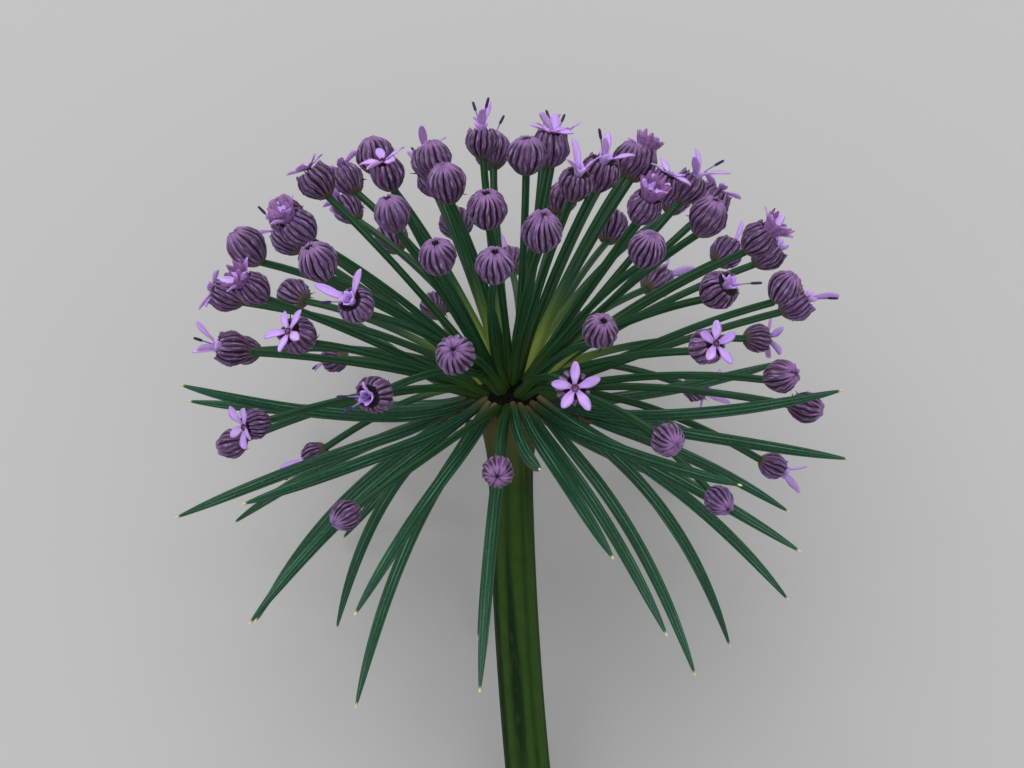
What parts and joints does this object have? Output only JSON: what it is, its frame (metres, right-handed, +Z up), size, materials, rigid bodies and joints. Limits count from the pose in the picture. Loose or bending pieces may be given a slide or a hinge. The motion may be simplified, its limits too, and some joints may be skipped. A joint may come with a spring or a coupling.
{
  "type": "field garlic flower head",
  "caption": "Flower head with a dome of thin green rays ending in ribbed plum florets with lilac petals, over a ruff of pointed green bracts on a short cut stem, lying down.",
  "frame": {"origin": "on the surface that the head lies on, under the middle of its box", "axes": "+Z up from the surface; the stem's cut end is towards -Y and the top of the flower head towards +Y; +X is the head's right side as the picture shows it"},
  "size_m": [0.0668, 0.075, 0.06],
  "materials": {
    "green_stalk": "waxy dark green with fine lengthwise grooves",
    "plum_floret": "dull plum ribs with near-black grooves",
    "lilac_petal": "soft lilac, slightly see-through",
    "dark_stamen": "lilac-grey thread with a dull navy tip",
    "brown_receptacle": "dry, rough and scaly"
  },
  "bodies": {
    "root": {"scape_and_bracts": "green_stalk", "spray_01": "plum_floret", "spray_02": "plum_floret", "spray_03": "plum_floret", "spray_04": "plum_floret", "spray_05": "plum_floret", "spray_06": "plum_floret", "spray_07": "plum_floret", "spray_08": "plum_floret", "spray_09": "plum_floret", "spray_10": "plum_floret", "spray_11": "plum_floret", "spray_12": "plum_floret", "spray_13": "plum_floret", "spray_14": "plum_floret", "spray_15": "plum_floret", "spray_16": "plum_floret"}
  },
  "joints": []
}
